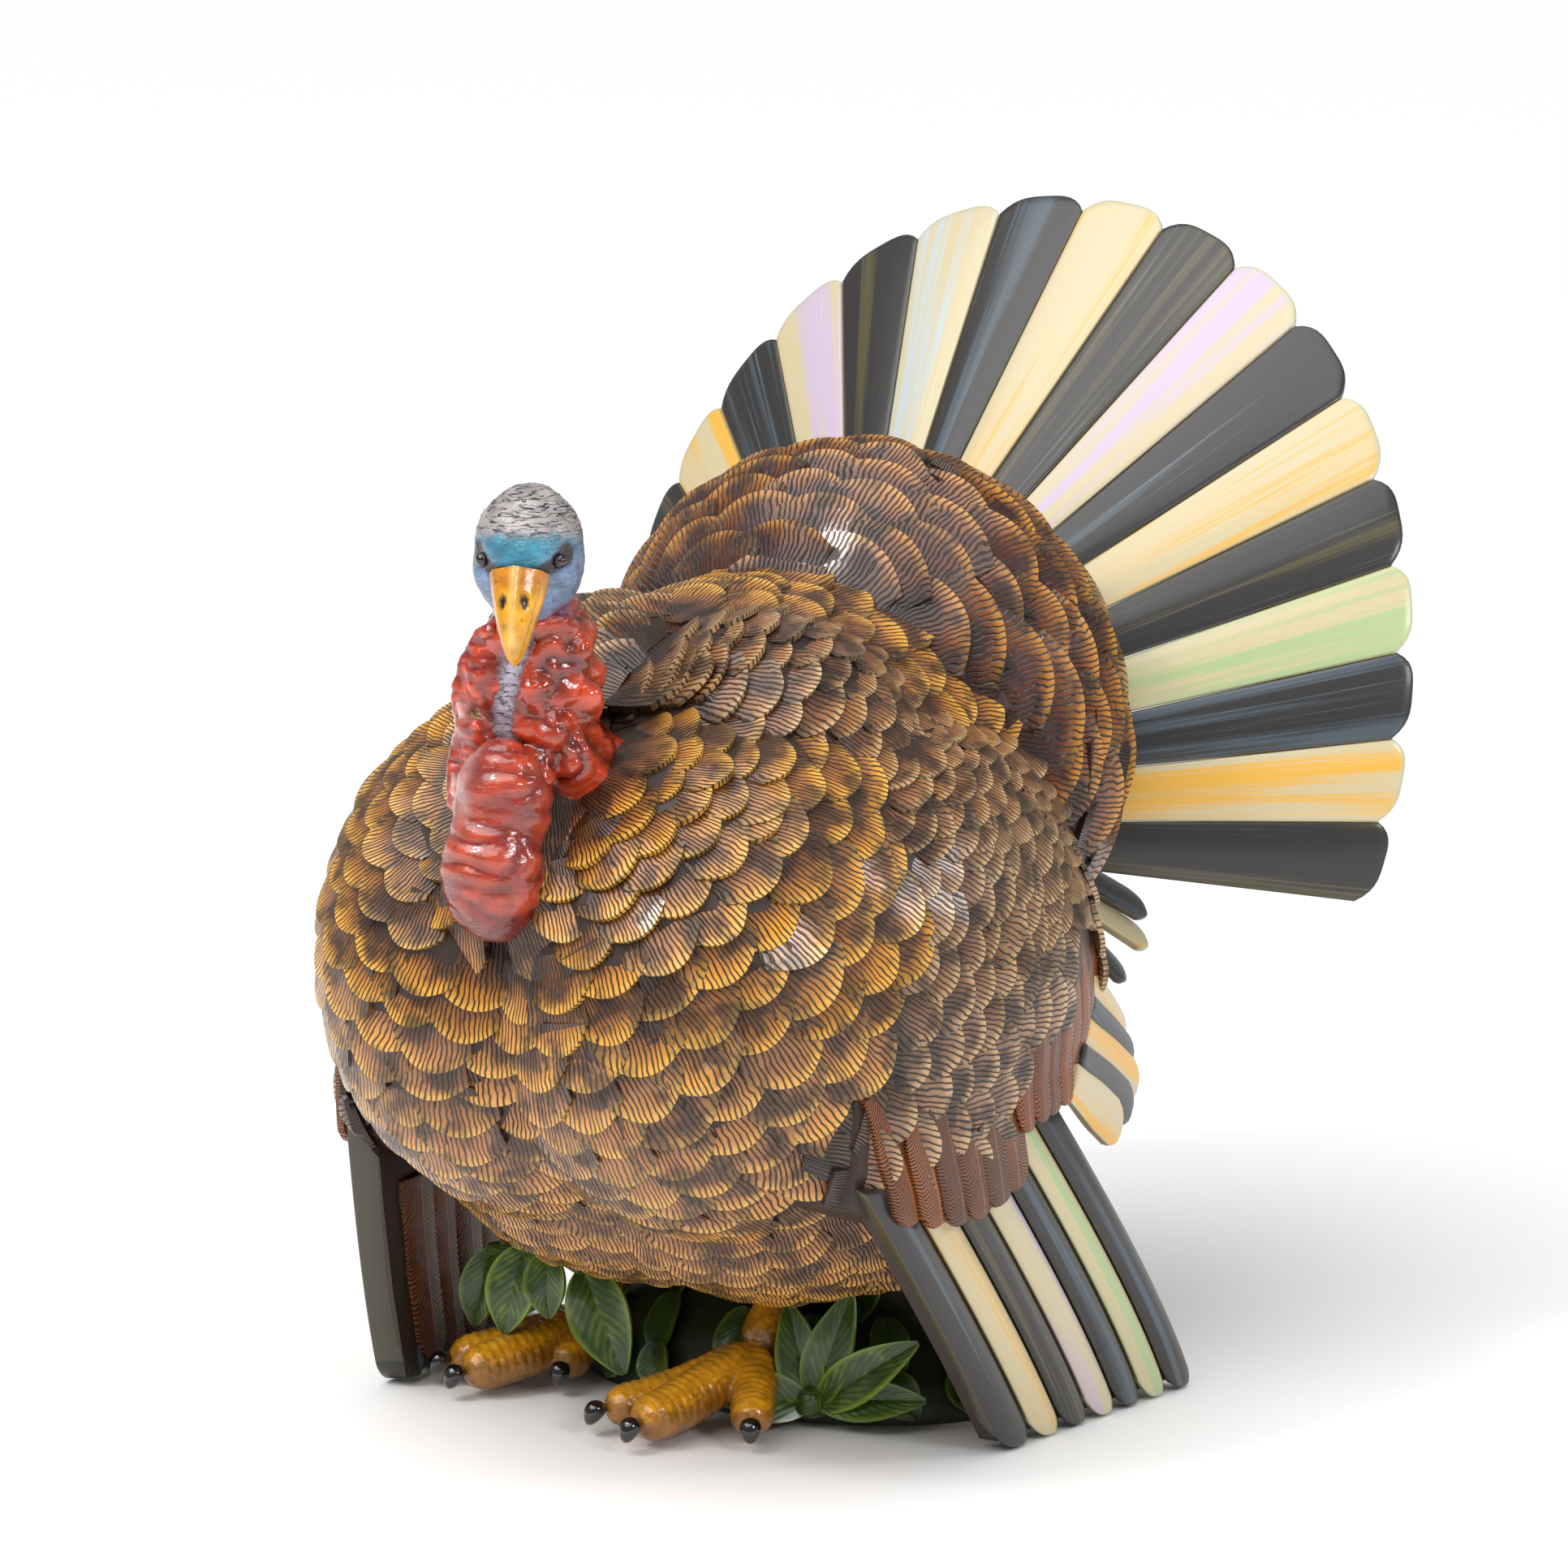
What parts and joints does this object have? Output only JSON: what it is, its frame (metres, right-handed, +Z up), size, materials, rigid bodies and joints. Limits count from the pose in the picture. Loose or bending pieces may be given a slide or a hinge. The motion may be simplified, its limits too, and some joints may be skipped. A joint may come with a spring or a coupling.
{
  "type": "turkey display figure",
  "caption": "Standing turkey figure with feathered body, bare red neck, striped wings and a striped fan tail that plugs into the back.",
  "frame": {"origin": "a point of the flat underside of the leafy base, on the plane midway between the wings, at the surface the figure stands on", "axes": "+Z up, -Y the way the bird faces, +X its left side"},
  "size_m": [0.3573, 0.4284, 0.4304],
  "materials": {
    "brown": "hand-painted resin, varnished brown feather relief",
    "tan": "hand-painted resin, varnished tan feather relief",
    "black": "brushed gloss black enamel",
    "cream": "brushed gloss cream enamel with yellow and lilac streaks",
    "red": "glazed red paint",
    "blue": "blue paint, speckled",
    "ochre": "ochre paint, varnished",
    "eye": "high gloss black",
    "leaf": "green paint with pale edges",
    "moss": "dark green-brown paint"
  },
  "bodies": {
    "figure": {"body_shell": "tan", "mantle": "brown", "wing_left": "brown", "wing_right": "brown", "neck": "red", "head": "blue", "beak": "ochre", "eye_left": "eye", "eye_right": "eye", "wattle": "red", "neck_fold": "red", "foot_left": "ochre", "foot_right": "ochre", "base_mound": "moss", "leaf_spray_left": "leaf", "leaf_spray_right": "leaf", "tertials_left": "cream", "tertials_right": "cream", "flight_feather_left_1": "black", "flight_feather_left_2": "cream", "flight_feather_left_3": "black", "flight_feather_left_4": "cream", "flight_feather_left_5": "black", "flight_feather_left_6": "cream", "flight_feather_left_7": "black", "undertail_left_1": "black", "undertail_left_2": "cream", "undertail_left_3": "black", "flight_feather_right_1": "black", "flight_feather_right_2": "cream", "flight_feather_right_3": "black", "flight_feather_right_4": "cream", "flight_feather_right_5": "black", "flight_feather_right_6": "cream", "flight_feather_right_7": "black", "undertail_right_1": "black", "undertail_right_2": "cream", "undertail_right_3": "black"},
    "tail": {"tail_hub": "brown", "tail_feather_01": "black", "tail_feather_02": "cream", "tail_feather_03": "black", "tail_feather_04": "cream", "tail_feather_05": "black", "tail_feather_06": "cream", "tail_feather_07": "black", "tail_feather_08": "cream", "tail_feather_09": "black", "tail_feather_10": "cream", "tail_feather_11": "black", "tail_feather_12": "cream", "tail_feather_13": "black", "tail_feather_14": "cream", "tail_feather_15": "black", "tail_feather_16": "cream", "tail_feather_17": "black", "tail_feather_18": "cream", "tail_feather_19": "black", "tail_feather_20": "cream", "tail_feather_21": "black"}
  },
  "joints": [
    {"name": "tail_lift", "type": "slide", "parent": "figure", "child": "tail", "axis": [0, 0.8192, 0.5736], "range_m": [0, 0.06]}
  ]
}
